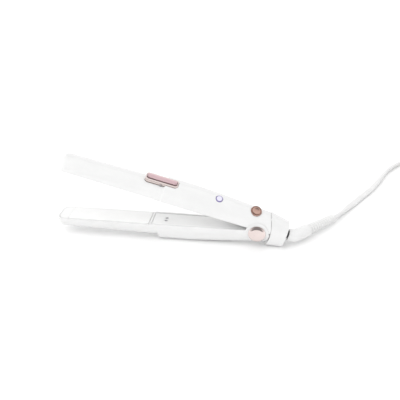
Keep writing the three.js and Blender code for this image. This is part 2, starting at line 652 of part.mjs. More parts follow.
function addHinge() {
  add(upperPivot, 'hinge_bracket', hingeBracket(), MATERIAL.inner);
  add(upperPivot, 'hinge_pin', barY(PIN_RADIUS, -BOSS.outer, BOSS.outer, 0, 0, 20), MATERIAL.steel);
  add(lowerPivot, 'hinge_spring', hingeSpring(), MATERIAL.steel);
  [['left', -1], ['right', 1]].forEach(([name, side]) => {
    add(lowerPivot, `${name}_hinge_cheek`, hingeCheek(side), MATERIAL.shell);
    add(lowerPivot, `${name}_bush`, bush(side), MATERIAL.rubber);
    add(lowerPivot, `${name}_pivot_cap`, pivotDisc(side), MATERIAL.rose);
  });
}

function addPlug() {
  const plug = new THREE.Group();
  const [before, end] = TAIL.slice(-2).map((point) => new THREE.Vector3(...point));
  plug.position.set(end.x, end.y, PLUG.half[1] + 0.05);
  plug.rotation.z = Math.atan2(end.y - before.y, end.x - before.x);
  iron.add(plug);
  add(plug, 'plug_body', plugBody(), MATERIAL.rubber);
  add(plug, 'left_plug_blade', plugBlade(-1), MATERIAL.brass);
  add(plug, 'right_plug_blade', plugBlade(1), MATERIAL.brass);
}

function addCord() {
  add(iron, 'swivel_elbow', elbow(), MATERIAL.shell);
  add(iron, 'strain_relief', strainRelief(), MATERIAL.rubber);
  add(iron, 'cord', cordStretch(ROUTE, 46), MATERIAL.rubber);
  add(iron, 'cord_coil', coil(), MATERIAL.rubber);
  add(iron, 'cord_tie', cordTie(), MATERIAL.rubber);
  add(iron, 'cord_tail', cordStretch(TAIL, 5), MATERIAL.rubber);
}

add(upperPivot, 'upper_shell', upperShell(), MATERIAL.shell);
add(lowerPivot, 'lower_shell', lowerShell(), MATERIAL.shell);
addArm(upperArm, 'upper');
addArm(lowerArm, 'lower');
add(upperArm, 'thermal_fuse', barX(1.5, -174, -160, 0, 10.6), MATERIAL.ceramic);
add(lowerArm, 'thermistor', barX(1.3, -172, -164, 0, 10.4), MATERIAL.ceramic);
add(upperArm, 'upper_heater_lead', armLead(-159.5, BOARD.front - GAP, 10.4), MATERIAL.dark);
add(lowerArm, 'lower_heater_lead', armLead(-163.5, -14, 10.4), MATERIAL.dark);
addControls();
addHinge();
add(upperPivot, 'rear_cap', rearCap(), MATERIAL.shell);
add(upperPivot, 'swivel_stem', swivelStem(), MATERIAL.dark);
add(upperPivot, 'swivel_retainer', retainerRing(), MATERIAL.steel);
add(upperPivot, 'inner_lead', innerLead(), MATERIAL.dark);
addCord();
addPlug();

export default iron;
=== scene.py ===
import json
import math

import bmesh
import bpy
from mathutils import Matrix, Vector
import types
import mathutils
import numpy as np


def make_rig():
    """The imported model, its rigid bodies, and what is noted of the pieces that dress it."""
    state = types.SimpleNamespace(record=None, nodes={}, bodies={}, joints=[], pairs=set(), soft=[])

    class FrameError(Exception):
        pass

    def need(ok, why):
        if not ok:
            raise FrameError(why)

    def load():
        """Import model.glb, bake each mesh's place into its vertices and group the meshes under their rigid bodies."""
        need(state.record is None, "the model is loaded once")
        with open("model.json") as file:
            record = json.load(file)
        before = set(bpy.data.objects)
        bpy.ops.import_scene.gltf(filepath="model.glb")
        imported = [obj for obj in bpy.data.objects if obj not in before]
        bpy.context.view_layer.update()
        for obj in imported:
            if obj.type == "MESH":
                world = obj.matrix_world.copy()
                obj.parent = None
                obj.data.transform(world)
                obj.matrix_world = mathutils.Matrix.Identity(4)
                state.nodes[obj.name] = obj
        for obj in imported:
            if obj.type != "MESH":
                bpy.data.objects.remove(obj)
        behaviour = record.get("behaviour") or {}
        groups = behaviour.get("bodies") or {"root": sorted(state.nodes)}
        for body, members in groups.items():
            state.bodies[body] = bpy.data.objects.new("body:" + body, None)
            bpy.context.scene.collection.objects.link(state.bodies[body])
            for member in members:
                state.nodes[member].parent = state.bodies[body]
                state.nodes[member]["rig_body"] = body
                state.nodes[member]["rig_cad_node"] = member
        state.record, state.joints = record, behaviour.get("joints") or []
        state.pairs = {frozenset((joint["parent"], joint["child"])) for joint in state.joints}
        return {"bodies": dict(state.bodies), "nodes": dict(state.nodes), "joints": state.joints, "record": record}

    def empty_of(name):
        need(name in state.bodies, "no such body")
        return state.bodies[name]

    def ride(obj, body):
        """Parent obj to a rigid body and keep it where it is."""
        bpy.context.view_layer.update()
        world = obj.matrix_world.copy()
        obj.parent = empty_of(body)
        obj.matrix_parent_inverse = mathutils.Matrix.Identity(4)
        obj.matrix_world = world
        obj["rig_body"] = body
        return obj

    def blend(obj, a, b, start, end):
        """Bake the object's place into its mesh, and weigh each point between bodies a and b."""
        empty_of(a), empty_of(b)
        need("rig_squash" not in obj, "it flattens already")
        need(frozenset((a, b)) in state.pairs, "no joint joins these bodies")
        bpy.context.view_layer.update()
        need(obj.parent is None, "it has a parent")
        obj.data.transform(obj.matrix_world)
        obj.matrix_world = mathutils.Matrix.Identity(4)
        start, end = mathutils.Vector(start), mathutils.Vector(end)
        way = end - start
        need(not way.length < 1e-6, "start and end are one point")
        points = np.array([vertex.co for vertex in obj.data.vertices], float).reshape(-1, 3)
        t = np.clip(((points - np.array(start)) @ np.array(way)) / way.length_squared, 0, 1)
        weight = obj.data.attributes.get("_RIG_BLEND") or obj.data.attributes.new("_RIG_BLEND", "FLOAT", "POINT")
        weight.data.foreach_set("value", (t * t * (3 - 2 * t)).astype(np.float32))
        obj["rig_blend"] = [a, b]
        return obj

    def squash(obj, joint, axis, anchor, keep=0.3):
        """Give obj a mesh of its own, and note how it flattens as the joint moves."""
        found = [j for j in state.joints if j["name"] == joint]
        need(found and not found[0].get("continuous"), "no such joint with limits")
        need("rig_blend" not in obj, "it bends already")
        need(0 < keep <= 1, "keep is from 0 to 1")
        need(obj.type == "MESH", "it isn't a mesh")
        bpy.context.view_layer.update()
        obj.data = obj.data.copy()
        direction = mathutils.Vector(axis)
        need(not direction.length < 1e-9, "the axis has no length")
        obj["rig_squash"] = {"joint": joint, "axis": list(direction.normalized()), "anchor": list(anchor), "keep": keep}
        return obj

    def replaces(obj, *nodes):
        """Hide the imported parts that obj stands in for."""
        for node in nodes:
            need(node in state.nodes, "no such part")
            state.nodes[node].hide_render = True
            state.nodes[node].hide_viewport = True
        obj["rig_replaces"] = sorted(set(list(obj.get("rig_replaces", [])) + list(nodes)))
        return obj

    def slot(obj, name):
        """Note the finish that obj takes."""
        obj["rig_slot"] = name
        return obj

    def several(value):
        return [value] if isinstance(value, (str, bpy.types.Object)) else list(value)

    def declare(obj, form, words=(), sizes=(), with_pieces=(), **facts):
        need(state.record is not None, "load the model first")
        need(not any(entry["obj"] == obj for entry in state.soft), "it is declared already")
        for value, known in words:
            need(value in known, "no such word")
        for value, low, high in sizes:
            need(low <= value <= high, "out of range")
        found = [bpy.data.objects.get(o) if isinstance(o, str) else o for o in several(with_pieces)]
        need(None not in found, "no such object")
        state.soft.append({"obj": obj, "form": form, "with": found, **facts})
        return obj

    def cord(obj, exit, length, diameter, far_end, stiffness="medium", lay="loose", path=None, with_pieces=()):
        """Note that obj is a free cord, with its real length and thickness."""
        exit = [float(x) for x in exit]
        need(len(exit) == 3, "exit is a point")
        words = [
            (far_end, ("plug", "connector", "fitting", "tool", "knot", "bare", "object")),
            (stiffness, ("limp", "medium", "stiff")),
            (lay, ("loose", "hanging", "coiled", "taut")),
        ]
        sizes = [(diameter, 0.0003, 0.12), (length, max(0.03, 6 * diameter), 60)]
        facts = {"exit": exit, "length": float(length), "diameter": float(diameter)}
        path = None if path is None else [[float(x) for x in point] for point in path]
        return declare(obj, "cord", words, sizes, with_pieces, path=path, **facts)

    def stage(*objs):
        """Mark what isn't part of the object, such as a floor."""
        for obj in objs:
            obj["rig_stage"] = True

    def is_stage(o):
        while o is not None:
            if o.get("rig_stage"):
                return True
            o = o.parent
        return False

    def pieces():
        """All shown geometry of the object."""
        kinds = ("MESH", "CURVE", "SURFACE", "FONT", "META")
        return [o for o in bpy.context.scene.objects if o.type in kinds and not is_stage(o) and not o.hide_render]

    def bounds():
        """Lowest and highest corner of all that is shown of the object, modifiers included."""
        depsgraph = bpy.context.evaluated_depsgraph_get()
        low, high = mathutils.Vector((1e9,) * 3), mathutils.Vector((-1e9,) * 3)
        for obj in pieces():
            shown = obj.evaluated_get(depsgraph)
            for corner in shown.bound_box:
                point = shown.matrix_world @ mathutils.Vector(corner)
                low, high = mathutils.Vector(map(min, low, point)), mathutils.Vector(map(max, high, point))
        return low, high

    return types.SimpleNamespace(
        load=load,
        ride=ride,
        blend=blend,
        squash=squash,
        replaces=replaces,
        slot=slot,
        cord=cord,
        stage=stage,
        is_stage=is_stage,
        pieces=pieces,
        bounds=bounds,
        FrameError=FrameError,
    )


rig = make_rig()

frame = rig.load()
cad_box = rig.bounds()

# Shapes are drawn in millimetres in the space of the arm they belong to,
# and placed in metres in the row's frame.
MM = 0.001
JOINTS = {joint["name"]: joint for joint in frame["joints"]}
HINGE = JOINTS["arm_hinge"]
OPEN = math.radians(HINGE["range_deg"][1])
PLANE = 3.8  # the plates meet this far above the hinge axis
TILT = math.radians(30)  # the controls face this far round to the thumb's side
TILT_CENTRE = 10.3

LOWER_PIVOT = Matrix.Translation(HINGE["pos_m"]) @ Matrix.Scale(MM, 4)
UPPER_PIVOT = LOWER_PIVOT @ Matrix.Rotation(OPEN, 4, "Y")
UPPER_ARM = UPPER_PIVOT @ Matrix.Translation((0, 0, PLANE))
LOWER_ARM = LOWER_PIVOT @ Matrix.Translation((0, 0, PLANE)) @ Matrix.Rotation(math.pi, 4, "X")
CONTROLS = UPPER_ARM @ Matrix.Translation((0, 0, TILT_CENTRE)) @ Matrix.Rotation(TILT, 4, "X")
ROW = Matrix.Scale(MM, 4)

TIP = -225.5
STEP = -111.0  # the barrel ends and the handle starts
REAR = 16.0
WALL = 1.6
TIP_ROUND = 8.0  # of the tip's corners, seen from above
TIP_FILLET = 3.6  # of the tip's edge, seen from the side
STEP_LENGTH = 2.0
BARREL_HALF_WIDTH = 14.6
BARREL_HEIGHT = (14.5, 17.5)
HANDLE_HALF_WIDTH = (14.9, 13.4)
HANDLE_HEIGHT = (22.4, 16.8)
LEVEL_END = -80.0
TAPER_POWER = 1.3
ROUNDNESS = 2.3
CROWN = 0.978
BARREL_RIM = 1.0
HANDLE_RIM = 0.3
GAP = 0.3

PLATE_X = (-212.4, -119.6)
PLATE_HALF = 12.7
PLATE_Z = (0.15, 3.2)
CARRIER_REAR = -116.9
SCREW_PLACE = (-101.8, 2.7)
SPRING_SEAT = 6.9
SPRING_PRESSED = 0.79  # share of a leaf spring's height left when its plate is pressed in
ROCKER_X = (-131.0, -98.0)
ROCKER_HALF = 4.6
ROCKER_Z = (8.6, 13.0)
BEZEL_WALL = 1.3
BEZEL_BOW = 3.0  # of the near side, over the bezel's length
ROCKER_BOW = 4.5
ROCKER_DIP = 1.0
BEZEL_END = 0.5
BEZEL_Z = (3.4, 12.0)
BOARD_TOP = 10.6
BUTTON_X = -8.0
BUTTON_RADIUS = 4.9
RING_WALL = 0.75  # of the ring round the button
LENS_X = -50.0
LENS_RADIUS = 3.9
LENS_Z = (9.4, 11.75)
CHEEK_RADIUS = 12.8
CHEEK_INNER = 11.2
CHEEK_ROOM = 12.95
BRACKET_ROOM = 7.7  # radius of the room round the hinge, between the cheeks
CAP_RADIUS = 9.4
CAP_SLOPE = math.radians(44)  # of the pivot cap's border at its rim
SEAM_CENTRE = (-42.0, -2.0)
SEAM_RADIUS = 56.1
SWIVEL_HEIGHT = 3.2  # of the swivel's axis above the hinge's
CORD_SIZE = (7.6, 4.2)  # width and thickness of the flat cord
CORD_LENGTH = 2.1
COIL_CENTRE = (387.0, 262.0)


# ---------------------------------------------------------------- camera
def add_camera():
    """50 mm lens, looking down at the iron from its controls' side."""
    data = bpy.data.cameras.new("camera")
    data.lens = 50
    data.sensor_width = 36
    camera = bpy.data.objects.new("camera", data)
    bpy.context.scene.collection.objects.link(camera)
    forward = Vector((-0.12074, 0.87573, -0.46747))
    camera.location = (0.10459, -0.53165, 0.33240)
    camera.rotation_euler = forward.to_track_quat("-Z", "Y").to_euler()
    bpy.context.scene.camera = camera


# ---------------------------------------------------------------- mesh building
def new_object(name, vertices, faces, place=ROW):
    mesh = bpy.data.meshes.new(name)
    mesh.from_pydata([place @ Vector(v) for v in vertices], [], faces)
    work = bmesh.new()
    work.from_mesh(mesh)
    bmesh.ops.remove_doubles(work, verts=work.verts, dist=1e-4 * place.to_scale().x)
    bmesh.ops.recalc_face_normals(work, faces=work.faces)
    work.to_mesh(mesh)
    work.free()
    obj = bpy.data.objects.new(name, mesh)
    bpy.context.scene.collection.objects.link(obj)
    return obj


def through_rings(rings, close=True):
    """Vertices and faces of a skin through closed rings of equal length, with its ends filled."""
    count = len(rings[0])
    vertices = [point for ring in rings for point in ring]
    faces = []
    for r in range(len(rings) - 1):
        for i in range(count):
            j = (i + 1) % count
            faces.append((r * count + i, r * count + j, (r + 1) * count + j, (r + 1) * count + i))
    if close:
        faces.append(tuple(range(count)))
        faces.append(tuple(range(len(vertices) - count, len(vertices))))
    return vertices, faces


def drawn(name, rings):
    """A working solid in millimetres, not placed yet."""
    return new_object(name, *through_rings(rings), place=Matrix.Identity(4))


def full_turn(sides):
    """Angles of equal steps all the way round."""
    return [2 * math.pi * i / sides for i in range(sides)]


def bar_y(radius, y0, y1, x=0.0, z=0.0, sides=96):
    circle = [(x + radius * math.cos(a), z + radius * math.sin(a)) for a in full_turn(sides)]
    rings = [[(px, y, pz) for px, pz in circle] for y in (y0, y1)]
    return drawn("bar", rings)


def bar_z(radius, z0, z1, x=0.0, sides=64):
    circle = [(x + radius * math.cos(a), radius * math.sin(a)) for a in full_turn(sides)]
    rings = [[(px, py, z) for px, py in circle] for z in (z0, z1)]
    return drawn("bar", rings)


def block(x, y, z):
    rings = [[(x[0], y[0], h), (x[1], y[0], h), (x[1], y[1], h), (x[0], y[1], h)] for h in z]
    return drawn("block", rings)


def combine(body, tools, operation="DIFFERENCE"):
    """Cuts, joins or intersects body with the tools, which are used up."""
    for tool in tools:
        modifier = body.modifiers.new("combine", "BOOLEAN")
        modifier.operation = operation
        modifier.solver = "EXACT"
        modifier.object = tool
        settled(body)
        bpy.data.objects.remove(tool)
    return body


def settled(obj):
    """Applies the object's modifiers to its mesh."""
    shaped = obj.evaluated_get(bpy.context.evaluated_depsgraph_get())
    mesh = bpy.data.meshes.new_from_object(shaped)
    obj.modifiers.clear()
    obj.data = mesh
    return obj


def moved(obj, matrix):
    obj.data.transform(matrix)
    return obj


def together(objects):
    """One object of several meshes that don't touch."""
    work = bmesh.new()
    for obj in objects:
        work.from_mesh(obj.data)
    work.to_mesh(objects[0].data)
    work.free()
    for obj in objects[1:]:
        bpy.data.objects.remove(obj)
    return objects[0]


def turned(profile, sides=72):
    """Rings of a turned piece along Z from a profile of (radius, height)."""
    rings = []
    for profile_radius, z in profile:
        radius = max(profile_radius, 1e-3)
        rings.append([(radius * math.cos(a), radius * math.sin(a), z) for a in full_turn(sides)])
    return rings


def slab_outline(half_x, half_y, corner, steps=10):
    corner = max(corner, 0.05)
    outline = []
    for quarter, (sx, sy) in enumerate(((1, 1), (-1, 1), (-1, -1), (1, -1))):
        for i in range(steps + 1):
            angle = math.pi / 2 * (quarter + i / steps)
            x = sx * (half_x - corner) + corner * math.cos(angle)
            outline.append((x, sy * (half_y - corner) + corner * math.sin(angle)))
    return outline


def soft_slab(x, y_half, z, corner, edge, crown=0.0, steps=5):
    """Rings of a slab with round corners, round top and bottom edges and a crowned top."""
    middle = (x[0] + x[1]) / 2
    half_x = (x[1] - x[0]) / 2
    levels = []
    for i in range(steps + 1):
        angle = math.pi / 2 * i / steps
        levels.append((edge * (1 - math.sin(angle)), z[0] + edge * (1 - math.cos(angle))))
    for i in range(steps + 1):
        angle = math.pi / 2 * i / steps
        levels.append((edge * (1 - math.cos(angle)), z[1] - edge * (1 - math.sin(angle))))
    for i in range(1, 9):
        levels.append((edge + (y_half - edge - 0.05) * i / 8, z[1]))
    rings = []
    for i, (inset, level) in enumerate(levels):
        outline = slab_outline(half_x - inset, y_half - inset, corner - inset)
        rise = crown if i > steps else 0
        rings.append([(middle + px, py, level + rise * (1 - (py / y_half) ** 2)) for px, py in outline])
    return rings


def bowed(rings, x, half_y, bow, dip=0.0, floor=0.0):
    """Draws a slab's near side in towards its ends, and lets its top dip in the middle."""
    shaped = []
    for ring in rings:
        points = []
        for px, py, pz in ring:
            along = (px - (x[0] + x[1]) / 2) / ((x[1] - x[0]) / 2)
            middle = max(1 - along ** 2, 0)
            drawn_in = bow * (1 - middle) * max(-py, 0) / half_y
            points.append((px, py + drawn_in, pz - dip * middle * (pz > floor)))
        shaped.append(points)
    return shaped


def finished(obj, body, slot, material, *nodes, angle=40):
    """Gives a piece its material, shading, body and slot, and names the CAD nodes it stands for."""
    obj.data.materials.clear()
    obj.data.materials.append(material)
    obj.data.shade_smooth()
    obj.data.set_sharp_from_angle(angle=math.radians(angle))
    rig.ride(obj, body)
    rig.slot(obj, slot)
    if nodes:
        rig.replaces(obj, *nodes)
    return obj


# ---------------------------------------------------------------- materials
def principled(name, **values):
    """A material with one Principled shader, uniform values set on its own sockets."""
    material = bpy.data.materials.new(name)
    material.use_nodes = True
    shader = material.node_tree.nodes["Principled BSDF"]
    for key, value in values.items():
        shader.inputs[key.replace("_", " ")].default_value = value
    return material, material.node_tree, shader


def noise(tree, scale, detail=2.0, stretch=(1, 1, 1)):
    """Noise in the row's own metres, scale in cells per metre."""
    place = tree.nodes.new("ShaderNodeTexCoord")
    mapping = tree.nodes.new("ShaderNodeMapping")
    mapping.inputs["Scale"].default_value = stretch
    texture = tree.nodes.new("ShaderNodeTexNoise")
    texture.inputs["Scale"].default_value = scale
    texture.inputs["Detail"].default_value = detail
    tree.links.new(place.outputs["Object"], mapping.inputs["Vector"])
    tree.links.new(mapping.outputs["Vector"], texture.inputs["Vector"])
    return texture.outputs["Fac"]


def shade_between(tree, value, dark, light, socket):
    ramp = tree.nodes.new("ShaderNodeValToRGB")
    ramp.color_ramp.elements[0].position = 0.3
    ramp.color_ramp.elements[1].position = 0.7
    ramp.color_ramp.elements[0].color = (*dark, 1)
    ramp.color_ramp.elements[1].color = (*light, 1)
    tree.links.new(value, ramp.inputs["Fac"])
    tree.links.new(ramp.outputs["Color"], socket)


def range_of(tree, value, low, high, socket):
    spread = tree.nodes.new("ShaderNodeMapRange")
    spread.inputs["From Min"].default_value = 0.3
    spread.inputs["From Max"].default_value = 0.7
    spread.inputs["To Min"].default_value = low
    spread.inputs["To Max"].default_value = high
    tree.links.new(value, spread.inputs["Value"])
    tree.links.new(spread.outputs["Result"], socket)


def relief(tree, shader, value, depth, edge=0.0):
    """Bump of the given depth in metres, over edges rounded by the given radius."""
    bump = tree.nodes.new("ShaderNodeBump")
    bump.inputs["Strength"].default_value = 1.0
    bump.inputs["Distance"].default_value = depth
    tree.links.new(value, bump.inputs["Height"])
    if edge:
        bevel = tree.nodes.new("ShaderNodeBevel")
        bevel.samples = 4
        bevel.inputs["Radius"].default_value = edge
        tree.links.new(bevel.outputs["Normal"], bump.inputs["Normal"])
    tree.links.new(bump.outputs["Normal"], shader.inputs["Normal"])


def surface(name, dark, light, rough, grain, depth, edge=0.0, stretch=(1, 1, 1), **values):
    """A moulded or metal surface: cloudy colour, uneven roughness and a fine grain of the given depth."""
    material, tree, shader = principled(name, **values)
    clouds = noise(tree, 60, 3)
    shade_between(tree, clouds, dark, light, shader.inputs["Base Color"])
    range_of(tree, noise(tree, grain / 3, 4, stretch), *rough, shader.inputs["Roughness"])
    relief(tree, shader, noise(tree, grain, 2, stretch), depth, edge)
    return material


def light_guide():
    """Lavender lens, deeper coloured at its rim, with a painted highlight: its middle is painted pale."""
    gloss = {"Roughness": 0.12, "Coat_Weight": 0.6, "Coat_Roughness": 0.05}
    # the pale colour in the middle is a painted highlight; the deeper lavender towards the rim is the lens's own tint
    painted_highlight_colour, deep = (0.74, 0.72, 0.84), (0.24, 0.20, 0.42)
    material, tree, shader = principled("lens_tint_with_painted_highlight", **gloss)
    place = tree.nodes.new("ShaderNodeTexCoord")
    distance = tree.nodes.new("ShaderNodeVectorMath")
    distance.operation = "DISTANCE"
    distance.inputs[1].default_value = CONTROLS @ Vector((LENS_X, 0, LENS_Z[1]))
    tree.links.new(place.outputs["Object"], distance.inputs[0])
    rim = tree.nodes.new("ShaderNodeMapRange")
    rim.inputs["From Min"].default_value = MM * LENS_RADIUS * 0.55
    rim.inputs["From Max"].default_value = MM * LENS_RADIUS
    tree.links.new(distance.outputs["Value"], rim.inputs["Value"])
    shade_between(tree, rim.outputs["Result"], painted_highlight_colour, deep, shader.inputs["Base Color"])
    relief(tree, shader, noise(tree, 900), 2e-6, 2e-4)
    return material


def make_materials():
    brushed = (0.06, 1, 1)
    return {
        "shell": surface("glossy_white_plastic", (0.77, 0.77, 0.768), (0.80, 0.80, 0.798), (0.16, 0.26),
                         900, 4e-6, 3e-4, Coat_Weight=0.3, Coat_Roughness=0.1, IOR=1.48),
        "inner": surface("satin_white_plastic", (0.82, 0.82, 0.817), (0.85, 0.85, 0.847), (0.38, 0.5),
                         2600, 8e-6, 2e-4, IOR=1.48),
        "plate": surface("ceramic_coated_plate", (0.84, 0.84, 0.835), (0.87, 0.87, 0.865), (0.16, 0.26),
                         3200, 3e-6, 2e-4, brushed, Coat_Weight=0.3, Coat_Roughness=0.1),
        "rose": surface("polished_rose_metal", (0.79, 0.68, 0.655), (0.85, 0.74, 0.715), (0.08, 0.14),
                        1500, 2e-6, 2e-4, Metallic=1.0),
        "satin": surface("satin_rose_metal", (0.76, 0.55, 0.58), (0.84, 0.62, 0.65), (0.28, 0.42),
                         3800, 5e-6, 2e-4, brushed, Metallic=1.0),
        "copper": surface("dark_copper_metal", (0.56, 0.36, 0.30), (0.68, 0.46, 0.39), (0.10, 0.2),
                          1500, 3e-6, 1e-4, Metallic=1.0),
        "steel": surface("plain_steel", (0.52, 0.52, 0.54), (0.64, 0.64, 0.66), (0.28, 0.42),
                         3500, 4e-6, 1e-4, (1, 0.08, 1), Metallic=1.0),
        "brass": surface("bright_brass", (0.66, 0.50, 0.22), (0.76, 0.60, 0.30), (0.2, 0.34),
                         3200, 3e-6, 1e-4, (1, 0.1, 1), Metallic=1.0),
        "dark": surface("dark_plastic", (0.030, 0.030, 0.033), (0.05, 0.05, 0.054), (0.42, 0.56),
                        2600, 8e-6, 2e-4),
        "board": surface("circuit_board", (0.012, 0.10, 0.05), (0.02, 0.16, 0.08), (0.3, 0.5),
                         1200, 1.5e-5),
        "ceramic": surface("dull_ceramic", (0.66, 0.60, 0.50), (0.76, 0.70, 0.60), (0.6, 0.8),
                           2400, 1.2e-5),
        "bush": surface("natural_nylon", (0.68, 0.67, 0.62), (0.76, 0.75, 0.70), (0.4, 0.55),
                        2000, 8e-6),
        "lens": light_guide(),
        "cord": surface("soft_white_vinyl", (0.74, 0.74, 0.737), (0.785, 0.785, 0.782), (0.36, 0.5),
                        2200, 1.2e-5, 2e-4, IOR=1.5),
    }


# ---------------------------------------------------------------- cord
# Route of the cord in millimetres, from the strain relief to the coil, and from the coil to the plug.
EXIT = (182.4, 54.0, 6.6)
ROUTE = [
    EXIT, (188, 62, 5.4), (194, 73, 4.3), (202, 87, 3.6), (212, 103, 3.3), (225, 124, 3.2), (239, 147, 3.2),
    (252, 173, 3.2), (262.5, 196, 3.2), (273, 214, 3.1), (285, 229.5, 2.9), (301, 247.5, 2.6),
    (317, 266, 2.4), (332, 284.8, 2.3),
]
TAIL = [(389, 203.5, 2.4), (379.5, 201.1, 4.2), (371, 199, 7.2), (364.5, 197.2, 8.7)]
LAST_TURNED = 9  # the point of the route up to which the cord follows the swivel
COIL_RADIUS = 49.6  # of the coil's second column from outside
COIL_LAYER = 2.2  # height of the cord's middle in the coil's first layer
COIL_START = math.radians(135)
COIL_TURNS = 6.583
COIL_STEPS = 230
STEP_UP = (2.8, 3.05)  # turns over which the cord steps up a layer
STEP_DOWN = (6.28, 6.42)
TIE_PLACE = 0.875  # share of a turn from the coil's start to the tie
TIE_WALL = 0.9
JOG = 0.3  # share of a turn over which the cord changes column
JOGS_IN = (0, 1, 2)
JOGS_OUT = (3.57, 4.57, 5.57)


def smooth(value, start, end):
    t = min(max((value - start) / (end - start), 0), 1)
    return t * t * (3 - 2 * t)


def coil_point(turn):
    """The cord winds in over four columns, steps up a layer, winds out again and drops down."""
    inwards = sum(smooth(turn, jog, jog + JOG) for jog in JOGS_IN)
    outwards = sum(smooth(turn, jog, jog + JOG) for jog in JOGS_OUT)
    radius = COIL_RADIUS + CORD_SIZE[0] * (1 - inwards + outwards)
    up = smooth(turn, *STEP_UP) - smooth(turn, *STEP_DOWN)
    angle = COIL_START - 2 * math.pi * turn
    over_tie = 1 - smooth(abs(turn % 1 - TIE_PLACE), 0.02, 0.125)
    x = COIL_CENTRE[0] + radius * math.cos(angle)
    z = COIL_LAYER + (CORD_SIZE[1] + 0.2) * up + TIE_WALL * over_tie
    return (x, COIL_CENTRE[1] + radius * math.sin(angle), z)


def smooth_line(points, steps=8):
    """Catmull-Rom line through the points."""
    points = [Vector(p) for p in points]
    line = []
    for i in range(len(points) - 1):
        before = points[max(i - 1, 0)]
        start, end = points[i], points[i + 1]
        after = points[min(i + 2, len(points) - 1)]
        for s in range(steps):
            t = s / steps
            line.append(0.5 * (2 * start + (end - before) * t
                               + (2 * before - 5 * start + 4 * end - after) * t ** 2
                               + (3 * start - before - 3 * end + after) * t ** 3))
    return line + [points[-1]]


def cord_line():
    turns = [COIL_TURNS * i / COIL_STEPS for i in range(1, COIL_STEPS + 1)]
    coil = [Vector(coil_point(turn)) for turn in turns]
    return smooth_line(ROUTE, 5) + coil + smooth_line(TAIL, 4)


def twin_outline():
    """Outline of a flat two-core cord: two lobes with a shallow groove between them."""
    lobe, centre = CORD_SIZE[1] / 2, (CORD_SIZE[0] - CORD_SIZE[1]) / 2
    outline = []
    for side in (1, -1):
        for i in range(11):
            angle = math.radians(-128 + 25.6 * i)
            outline.append((side * (centre + lobe * math.cos(angle)), side * lobe * math.sin(angle)))
    return outline


def cord_roll(travelled):
    """Roll about its own line: on edge at the relief, twisting over, then flat on the surface."""
    degrees = 75 * (1 - smooth(travelled, 0, 60)) + 65 * smooth(travelled, 60, 200)
    return math.radians(degrees - 65 * smooth(travelled, 225, 330))


def swept(outline, line, roll):
    """Rings of an outline carried along a line, rolled about it and kept upright otherwise."""
    rings = []
    travelled = 0.0
    for i, point in enumerate(line):
        way = (line[min(i + 1, len(line) - 1)] - line[max(i - 1, 0)]).normalized()
        side = way.cross(Vector((0, 0, 1))).normalized()
        up = side.cross(way)
        if i:
            travelled += (point - line[i - 1]).length
        c, s = math.cos(roll(travelled)), math.sin(roll(travelled))
        rings.append([point + side * (x * c - y * s) + up * (x * s + y * c) for x, y in outline])
    return rings


def lift(line):
    """Raises the line where the rolled cord would reach through the surface."""
    travelled = 0.0
    for i, point in enumerate(line):
        if i:
            travelled += (Vector((*point[:2], 0)) - Vector((*line[i - 1][:2], 0))).length
        roll = cord_roll(travelled)
        reach = abs(math.sin(roll)) * (CORD_SIZE[0] - CORD_SIZE[1]) / 2 + CORD_SIZE[1] / 2
        point.z = max(point.z, reach + 0.1)
    return line


def strain_relief(place, length):
    """Tapered sleeve with rounded ribs along Z."""
    ribs, samples, rib_share = 12, 10, 0.62
    profile = [(0, -2.0), (5.2, -2.0), (6.4, -1.4)]
    for rib in range(ribs):
        for part in range(samples):
            along = (rib + part / samples) / ribs
            swell = max(0, math.sin(math.pi * min(part / samples / rib_share, 1))) ** 0.4
            profile.append((4.3 - 0.4 * along + (2.0 - 1.0 * along) * swell, along * length))
    profile += [(4.2, length), (3.9, length + 0.5), (0, length + 0.5)]
    return moved(drawn("strain_relief_sleeve", turned(profile, 48)), place)


def add_cord_parts():
    line = lift(cord_line())
    rings = swept(twin_outline(), line, cord_roll)
    cord = new_object("flat_cord", *through_rings(rings))
    cord.data.materials.append(MATERIALS["cord"])
    cord.data.shade_smooth()
    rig.slot(cord, "cord")
    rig.replaces(cord, "cord", "cord_coil", "cord_tail")
    far = ROUTE[LAST_TURNED]
    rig.blend(cord, "upper_arm", "swivel", start=[MM * v for v in far], end=[MM * v for v in EXIT])
    return cord, line


# ---------------------------------------------------------------- arms
def round_power(value, power):
    return math.copysign(abs(value) ** (2 / power), value)


def half_section(skirt, sides=72):
    """Half of an arm: width -1 to 1, height 0 to 1 with a flat crown, on a skirt below the plane."""
    points = []
    for i in range(sides + 1):
        angle = math.pi * i / sides
        height = min(abs(round_power(math.sin(angle), ROUNDNESS)), CROWN) / CROWN
        points.append((round_power(math.cos(angle), ROUNDNESS), height))
    return points + [(-1, -skirt), (1, -skirt)] if skirt else points


def full_section(sides=120, power=2.6):
    turn = [2 * math.pi * (i + 0.5) / sides for i in range(sides)]
    return [(round_power(math.cos(a), power), round_power(math.sin(a), power)) for a in turn]


def loft(name, section, stations):
    """A section carried through stations of (x, half width, height, middle)."""
    return drawn(name, [[(x, u * a, z + v * b) for u, v in section] for x, a, b, z in stations])


def between(value, start, end, pair):
    return pair[0] + (pair[1] - pair[0]) * (value - start) / (end - start)


def arm_size(x):
    barrel = between(x, TIP, STEP, BARREL_HEIGHT)
    along = max(0, (x - LEVEL_END) / (REAR - 2 - LEVEL_END))
    handle = HANDLE_HEIGHT[0] - (HANDLE_HEIGHT[0] - HANDLE_HEIGHT[1]) * along ** TAPER_POWER
    step = smooth(x, STEP, STEP + STEP_LENGTH)
    width = between(min(x, REAR), STEP, 0, HANDLE_HALF_WIDTH)
    return BARREL_HALF_WIDTH + (width - BARREL_HALF_WIDTH) * step, barrel + (handle - barrel) * step


def round_off(radius, along):
    """How far a quarter round stands back at a distance along it."""
    left = min(max(radius - along, 0), radius)
    return radius - math.sqrt(radius ** 2 - left ** 2)


